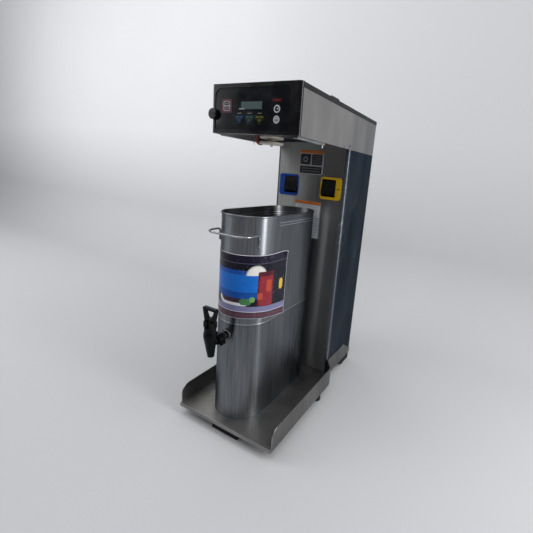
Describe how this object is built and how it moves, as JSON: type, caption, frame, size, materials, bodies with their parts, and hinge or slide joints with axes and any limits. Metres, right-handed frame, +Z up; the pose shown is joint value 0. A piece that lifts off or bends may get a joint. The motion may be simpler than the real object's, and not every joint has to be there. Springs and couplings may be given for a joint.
{
  "type": "iced tea maker",
  "caption": "Tall iced tea brewer on a railed steel tray, control panel in an overhanging head, narrow oval dispenser with faucet and wire handle below.",
  "frame": {"origin": "on the counter at the centre of the whole footprint, faucet to water inlet", "axes": "+X to the right seen from the front, +Y to the back, +Z up"},
  "size_m": [0.3092, 0.6408, 0.884],
  "materials": {
    "tray_steel": "brushed, worn",
    "trunk_steel": "vertical brush grain",
    "side_steel": "brushed, dark reflection, scratched",
    "head_steel": "brushed",
    "dispenser_steel": "satin, vertical grain",
    "inner_steel": "plain",
    "bright_steel": "polished",
    "black_abs": "glossy",
    "black_cover": "satin",
    "panel_film": "glossy film",
    "lcd_window": "clear over a grey-green display",
    "red_lens": "translucent",
    "board_green": "solder resist",
    "key_silver": "printed film",
    "key_blue": "printed film",
    "key_green": "printed film",
    "key_yellow": "printed film",
    "key_white": "printed film",
    "black_rubber": "matte",
    "spray_plastic": "moulded",
    "hose_silicone": "soft, reddish",
    "blue_film": "printed film",
    "yellow_film": "printed film",
    "plate_print": "printed film",
    "valve_brass": "plain",
    "copper_pipe": "plain",
    "label_print": "printed film",
    "faucet_black": "glossy",
    "seat_silicone": "soft"
  },
  "bodies": {
    "brewer": {"base_tray": "tray_steel", "front_support_pad": "black_rubber", "middle_feet": "black_rubber", "rear_runners": "black_rubber", "trunk_side_left": "side_steel", "trunk_side_right": "side_steel", "trunk_front_cover": "trunk_steel", "rear_panel": "trunk_steel", "head_wrap": "head_steel", "head_underplate": "head_steel", "top_cover": "black_cover", "front_bezel": "black_abs", "control_panel": "panel_film", "display_window": "lcd_window", "indicator_lens": "red_lens", "control_board": "board_green", "funnel_rail_left": "bright_steel", "funnel_rail_right": "bright_steel", "spray_head": "spray_plastic", "spray_ring": "spray_plastic", "spray_hose": "hose_silicone", "surround_blue": "blue_film", "surround_yellow": "yellow_film", "paddle_box_blue": "black_abs", "paddle_box_yellow": "black_abs", "paddle_pins": "bright_steel", "upper_plate": "plate_print", "lower_plate": "plate_print", "tank_shelf": "inner_steel", "hot_water_tank": "inner_steel", "tank_lid": "inner_steel", "heating_element": "inner_steel", "temperature_probe": "inner_steel", "brew_valve": "valve_brass", "water_pipes": "copper_pipe", "inlet_valve": "valve_brass", "cord_gland": "black_cover", "side_screws": "bright_steel", "rear_screws": "bright_steel"},
    "dispenser": {"dispenser_tank": "dispenser_steel", "dispenser_skirt": "dispenser_steel", "dispenser_handle": "bright_steel", "label_wrap": "label_print", "faucet_shank": "faucet_black", "faucet_back_nut": "faucet_black", "faucet_wing_nut": "faucet_black", "faucet_body": "faucet_black", "faucet_bonnet": "faucet_black", "faucet_spring": "bright_steel"},
    "power_key": {"power_key": "key_silver"},
    "funnel_key_blue": {"funnel_key_blue": "key_blue"},
    "funnel_key_green": {"funnel_key_green": "key_green"},
    "funnel_key_yellow": {"funnel_key_yellow": "key_yellow"},
    "round_key_upper": {"round_key_upper": "key_white"},
    "round_key_lower": {"round_key_lower": "key_white"},
    "thumb_knob": {"thumb_knob": "black_abs"},
    "paddle_blue": {"paddle_blue": "black_abs"},
    "paddle_yellow": {"paddle_yellow": "black_abs"},
    "faucet_stem": {"faucet_stem": "seat_silicone"},
    "faucet_lever": {"faucet_lever": "faucet_black"}
  },
  "joints": [
    {"name": "power_key_press", "type": "slide", "parent": "brewer", "child": "power_key", "axis": [0, 1, 0], "range_m": [0, 0.0008], "stiffness_N_per_m": 800},
    {"name": "funnel_key_blue_press", "type": "slide", "parent": "brewer", "child": "funnel_key_blue", "axis": [0, 1, 0], "range_m": [0, 0.0008], "stiffness_N_per_m": 800},
    {"name": "funnel_key_green_press", "type": "slide", "parent": "brewer", "child": "funnel_key_green", "axis": [0, 1, 0], "range_m": [0, 0.0008], "stiffness_N_per_m": 800},
    {"name": "funnel_key_yellow_press", "type": "slide", "parent": "brewer", "child": "funnel_key_yellow", "axis": [0, 1, 0], "range_m": [0, 0.0008], "stiffness_N_per_m": 800},
    {"name": "round_key_upper_press", "type": "slide", "parent": "brewer", "child": "round_key_upper", "axis": [0, 1, 0], "range_m": [0, 0.0008], "stiffness_N_per_m": 800},
    {"name": "round_key_lower_press", "type": "slide", "parent": "brewer", "child": "round_key_lower", "axis": [0, 1, 0], "range_m": [0, 0.0008], "stiffness_N_per_m": 800},
    {"name": "thumb_knob_turn", "type": "hinge", "parent": "brewer", "child": "thumb_knob", "pos_m": [-0.1172, -0.20157, 0.8135], "axis": [0, 1, 0], "range_deg": [0, 90]},
    {"name": "paddle_blue_press", "type": "hinge", "parent": "brewer", "child": "paddle_blue", "pos_m": [-0.0672, 0.10273, 0.67525], "axis": [1, 0, 0], "range_deg": [0, 10], "stiffness_Nm_per_rad": 0.8},
    {"name": "paddle_yellow_press", "type": "hinge", "parent": "brewer", "child": "paddle_yellow", "pos_m": [0.0672, 0.10273, 0.67525], "axis": [1, 0, 0], "range_deg": [0, 10], "stiffness_Nm_per_rad": 0.8},
    {"name": "dispenser_slide_out", "type": "slide", "parent": "brewer", "child": "dispenser", "axis": [0, -1, 0], "range_m": [0, 0.4]},
    {"name": "faucet_stem_lift", "type": "slide", "parent": "dispenser", "child": "faucet_stem", "axis": [0, 0, 1], "range_m": [0, 0.005], "stiffness_N_per_m": 900, "deforming": ["faucet_spring"]},
    {"name": "faucet_lever_pull", "type": "hinge", "parent": "faucet_stem", "child": "faucet_lever", "pos_m": [-0.0175, -0.30443, 0.3289], "axis": [1, 0, 0], "range_deg": [0, 30], "stiffness_Nm_per_rad": 0.35}
  ],
  "couplings": [
    {"joint": "faucet_lever_pull", "follows": "faucet_stem_lift", "rad_per_m": 104.7}
  ]
}
